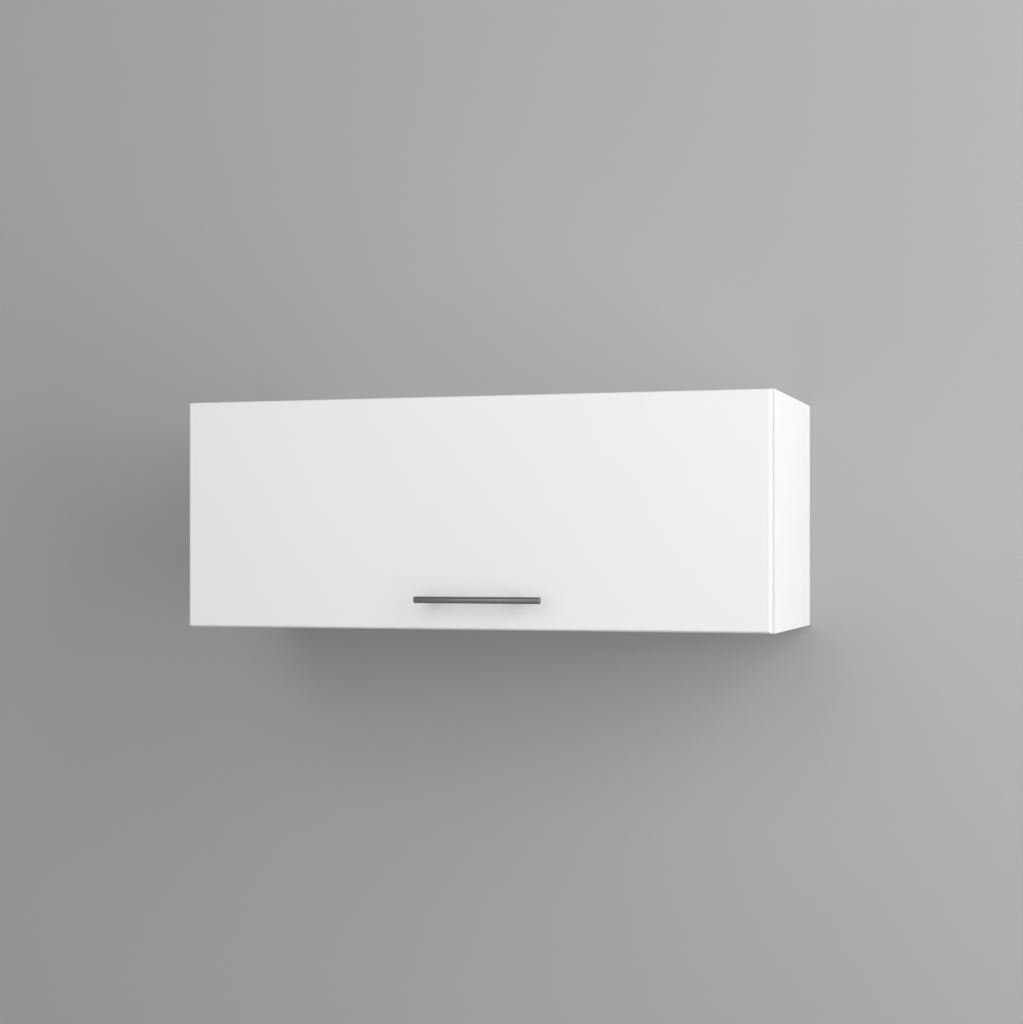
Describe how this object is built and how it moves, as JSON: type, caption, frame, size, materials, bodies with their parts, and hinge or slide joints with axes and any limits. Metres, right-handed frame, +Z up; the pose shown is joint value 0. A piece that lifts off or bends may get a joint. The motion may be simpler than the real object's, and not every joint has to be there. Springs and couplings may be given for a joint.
{
  "type": "lift up wall cabinet",
  "caption": "White wall cabinet, wider than tall, with one flat front that lifts up on concealed hinges and flap stays, and a dark round bar handle.",
  "frame": {"origin": "centre of the flat rear face that lies on the wall, at half the cabinet's height", "axes": "+X to the right as seen from the front, +Y towards the wall, +Z up; the closed front faces -Y"},
  "size_m": [0.9, 0.395, 0.345],
  "materials": {
    "white_melamine": "white melamine-faced chipboard, fine satin texture",
    "white_front_foil": "white foil over MDF, smooth satin",
    "white_edge_band": "white edge banding",
    "white_hardboard": "hardboard, painted white inside and brown behind",
    "beech": "raw beech",
    "white_plastic": "moulded white plastic",
    "grey_nylon": "moulded grey nylon",
    "clear_rubber": "clear soft plastic",
    "zinc_casting": "die-cast zinc, dull",
    "plated_steel": "zinc-plated steel",
    "nickel_steel": "nickel-plated steel",
    "spring_steel": "oiled spring steel",
    "dark_steel": "dark brushed steel"
  },
  "bodies": {
    "root": {"side_panel_left": "white_melamine", "side_panel_right": "white_melamine", "top_panel": "white_melamine", "bottom_panel": "white_melamine", "back_panel": "white_hardboard", "carcass_edge_bands": "white_edge_band", "cam_locks": "zinc_casting", "cam_bolts": "plated_steel", "carcass_dowels": "beech", "cam_cover_caps": "white_plastic", "hanging_bracket_left": "plated_steel", "hanging_bracket_right": "plated_steel", "hanging_bracket_screws": "plated_steel", "hinge_plate_left": "nickel_steel", "hinge_plate_right": "nickel_steel", "hinge_plate_screws": "plated_steel", "hinge_arm_left": "nickel_steel", "hinge_arm_right": "nickel_steel", "hinge_arm_screws": "plated_steel", "stay_cabinet_bracket_left": "plated_steel", "stay_cabinet_bracket_right": "plated_steel", "stay_cabinet_bracket_screws": "plated_steel", "stay_cabinet_pins": "plated_steel"},
    "door": {"door_panel": "white_front_foil", "hinge_cup_left": "nickel_steel", "hinge_cup_right": "nickel_steel", "hinge_cup_screws": "plated_steel", "hinge_pins": "nickel_steel", "stay_door_bracket_left": "plated_steel", "stay_door_bracket_right": "plated_steel", "stay_door_bracket_screws": "plated_steel", "stay_door_pins": "plated_steel", "handle_bar": "dark_steel", "handle_posts": "dark_steel", "handle_screws": "plated_steel", "door_bumpers": "clear_rubber"},
    "stay_arm_left": {"stay_fork_left": "zinc_casting", "stay_brake_shoe_left": "grey_nylon", "stay_spring_left": "spring_steel", "stay_tube_left": "nickel_steel", "stay_foot_left": "zinc_casting", "stay_knee_pin_left": "plated_steel"},
    "stay_arm_right": {"stay_fork_right": "zinc_casting", "stay_brake_shoe_right": "grey_nylon", "stay_spring_right": "spring_steel", "stay_tube_right": "nickel_steel", "stay_foot_right": "zinc_casting", "stay_knee_pin_right": "plated_steel"},
    "stay_link_left": {"stay_lever_left": "nickel_steel"},
    "stay_link_right": {"stay_lever_right": "nickel_steel"}
  },
  "joints": [
    {"name": "door_hinge", "type": "hinge", "parent": "root", "child": "door", "pos_m": [0, -0.352, 0.164], "axis": [-1, 0, 0], "range_deg": [0, 95]},
    {"name": "stay_arm_left_pivot", "type": "hinge", "parent": "root", "child": "stay_arm_left", "pos_m": [-0.423, -0.307, 0.119], "axis": [-1, 0, 0], "range_deg": [0, 95]},
    {"name": "stay_arm_right_pivot", "type": "hinge", "parent": "root", "child": "stay_arm_right", "pos_m": [0.423, -0.307, 0.119], "axis": [-1, 0, 0], "range_deg": [0, 95]},
    {"name": "stay_knee_left", "type": "hinge", "parent": "stay_arm_left", "child": "stay_link_left", "pos_m": [-0.4127, -0.285, 0.004], "axis": [-1, 0, 0], "range_deg": [-95, 0]},
    {"name": "stay_knee_right", "type": "hinge", "parent": "stay_arm_right", "child": "stay_link_right", "pos_m": [0.4127, -0.285, 0.004], "axis": [-1, 0, 0], "range_deg": [-95, 0]}
  ],
  "couplings": [
    {"joint": "stay_arm_left_pivot", "follows": "door_hinge", "ratio": 1},
    {"joint": "stay_arm_right_pivot", "follows": "door_hinge", "ratio": 1},
    {"joint": "stay_knee_left", "follows": "door_hinge", "ratio": -1},
    {"joint": "stay_knee_right", "follows": "door_hinge", "ratio": -1}
  ]
}
